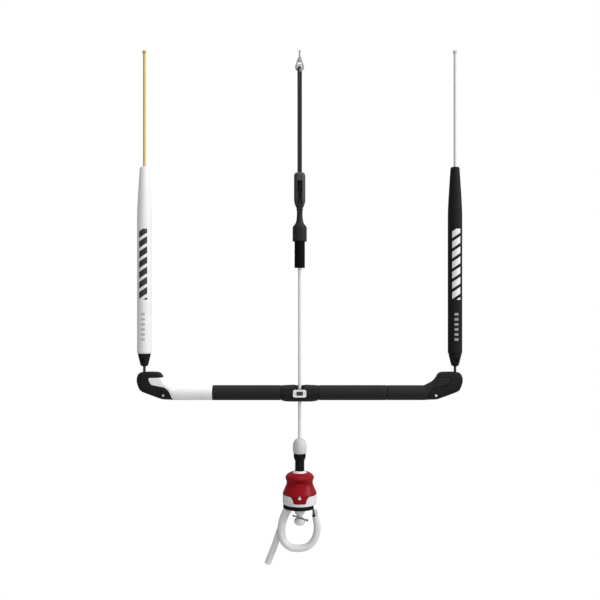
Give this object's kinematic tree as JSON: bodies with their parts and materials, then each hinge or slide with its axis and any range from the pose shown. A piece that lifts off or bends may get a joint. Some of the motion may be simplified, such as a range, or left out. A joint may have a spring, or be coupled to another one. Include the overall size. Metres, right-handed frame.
{
  "type": "kitesurf control bar",
  "caption": "Kitesurf control bar with floats and leader lines, trim cleat on the centre line, push-away quick release, swivel knob, and hinged loop with finger.",
  "frame": {"origin": "top end of the centre line, where the kite's centre lines are fastened and hold the bar up", "axes": "+Z along the lines towards the kite, +X along the bar to its right end as the rider sees it, +Y away from the rider"},
  "size_m": [0.5206, 0.0546, 0.8273],
  "materials": {
    "centre_line_rope": "braided grey rope",
    "thimble_steel": "polished stainless steel",
    "black_rope": "braided black rope",
    "cleat_plastic": "moulded black plastic",
    "aluminium": "black anodised",
    "screw_steel": "stainless fasteners and pins",
    "depower_rope": "coated light grey rope",
    "trim_rubber": "ribbed black rubber",
    "bumper_rubber": "smooth black rubber",
    "bush_plastic": "white low-friction plastic",
    "hub_plastic": "moulded black plastic",
    "plate_metal": "satin light grey",
    "white_end": "white moulded foam rubber",
    "black_end": "black moulded foam rubber",
    "black_grip": "black foam rubber grip",
    "end_plastic": "moulded black plastic",
    "white_float": "white foam float",
    "black_float": "black foam float",
    "cap_plastic": "moulded black plastic",
    "yellow_rope": "braided yellow rope",
    "grey_rope": "braided light grey rope",
    "dome_rubber": "white rubber",
    "collar_rubber": "black rubber",
    "white_plastic": "moulded white plastic",
    "red_plastic": "moulded dark red plastic",
    "spring_steel": "spring wire",
    "hook_steel": "dark steel",
    "loop_rubber": "white rubber"
  },
  "bodies": {
    "kite_line": {"centre_line": "centre_line_rope", "thimble": "thimble_steel"},
    "centre": {"trim_rope": "black_rope", "cleat_housing": "cleat_plastic", "cleat_insert": "aluminium", "cleat_screw": "screw_steel", "depower_line": "depower_rope", "swivel_shaft": "screw_steel", "untwist_knob": "white_plastic", "knob_lock_pin": "screw_steel"},
    "trim_grip": {"trim_handle": "trim_rubber", "bumper_tube": "bumper_rubber", "trim_tail": "black_rope"},
    "line_slider": {"line_bush": "bush_plastic"},
    "bush_swivel": {"bush_ring": "screw_steel"},
    "bar": {"bar_hub": "hub_plastic", "hub_plate": "plate_metal", "hub_screw_left": "screw_steel", "hub_screw_right": "screw_steel", "bar_tube_left": "aluminium", "bar_tube_right": "aluminium", "grip_left": "black_grip", "grip_right": "black_grip", "end_shell_left": "end_plastic", "end_shell_right": "end_plastic", "end_filler_left": "white_end", "end_filler_right": "black_end", "end_screw_left": "screw_steel", "end_screw_right": "screw_steel", "leader_stop_knot_left": "black_rope", "leader_stop_knot_right": "black_rope"},
    "float_line_left": {"float_left": "white_float", "float_cap_left": "cap_plastic", "leader_line_left": "yellow_rope", "leader_lower_left": "black_rope"},
    "float_line_right": {"float_right": "black_float", "float_cap_right": "cap_plastic", "leader_line_right": "grey_rope", "leader_lower_right": "black_rope"},
    "quick_release": {"stopper_dome": "dome_rubber", "dome_collar": "collar_rubber", "stem_tube": "collar_rubber", "spring_cap": "white_plastic", "qr_body": "white_plastic", "qr_base": "collar_rubber", "swivel_bearing": "screw_steel", "swivel_cup": "white_plastic", "hook_pin": "screw_steel", "loop_anchor": "white_plastic", "loop_pin": "screw_steel", "handle_spring": "spring_steel"},
    "push_handle": {"release_handle": "red_plastic", "release_arrow": "white_plastic"},
    "latch": {"release_hook": "hook_steel"},
    "loop": {"loop_socket": "loop_rubber", "chicken_loop": "loop_rubber", "loop_end_fitting": "white_plastic", "finger_pin": "screw_steel"},
    "finger": {"loop_finger": "loop_rubber"}
  },
  "joints": [
    {"name": "trim_slide", "type": "slide", "parent": "kite_line", "child": "centre", "axis": [0, 0, -1], "range_m": [-0.075, 0], "deforming": ["trim_rope"]},
    {"name": "trim_grip_slide", "type": "slide", "parent": "centre", "child": "trim_grip", "axis": [0, 0, 1], "range_m": [-0.15, 0], "deforming": ["trim_tail"]},
    {"name": "bar_slide", "type": "slide", "parent": "centre", "child": "line_slider", "axis": [0, 0, 1], "range_m": [-0.055, 0.18]},
    {"name": "bar_spin", "type": "hinge", "parent": "line_slider", "child": "bush_swivel", "pos_m": [0, 0, -0.5482], "axis": [0, 0, 1], "continuous": true},
    {"name": "bar_tilt", "type": "hinge", "parent": "bush_swivel", "child": "bar", "pos_m": [0, 0, -0.5482], "axis": [0, 1, 0], "range_deg": [-20, 20]},
    {"name": "float_left_swing", "type": "hinge", "parent": "bar", "child": "float_line_left", "pos_m": [-0.2485, 0, -0.5145], "axis": [0, 1, 0], "range_deg": [-20, 20]},
    {"name": "float_right_swing", "type": "hinge", "parent": "bar", "child": "float_line_right", "pos_m": [0.2485, 0, -0.5145], "axis": [0, 1, 0], "range_deg": [-20, 20]},
    {"name": "release_swivel", "type": "hinge", "parent": "centre", "child": "quick_release", "pos_m": [0, 0, -0.7], "axis": [0, 0, 1], "continuous": true},
    {"name": "handle_push", "type": "slide", "parent": "quick_release", "child": "push_handle", "axis": [0, 0, 1], "range_m": [0, 0.014], "stiffness_N_per_m": 600, "springref_m": -0.006, "deforming": ["handle_spring"]},
    {"name": "latch_release", "type": "hinge", "parent": "quick_release", "child": "latch", "pos_m": [0.0188, 0, -0.721], "axis": [0, -1, 0], "range_deg": [0, 35]},
    {"name": "loop_open", "type": "hinge", "parent": "quick_release", "child": "loop", "pos_m": [-0.0195, 0, -0.7345], "axis": [0, 1, 0], "range_deg": [0, 80]},
    {"name": "finger_swing", "type": "hinge", "parent": "loop", "child": "finger", "pos_m": [-0.0289, 0.012, -0.763], "axis": [0, 1, 0], "range_deg": [-85, 20]}
  ],
  "couplings": [
    {"joint": "trim_grip_slide", "follows": "trim_slide", "ratio": 2},
    {"joint": "float_left_swing", "follows": "bar_tilt", "ratio": -1},
    {"joint": "float_right_swing", "follows": "bar_tilt", "ratio": -1},
    {"joint": "latch_release", "follows": "handle_push", "rad_per_m": 43.6}
  ]
}
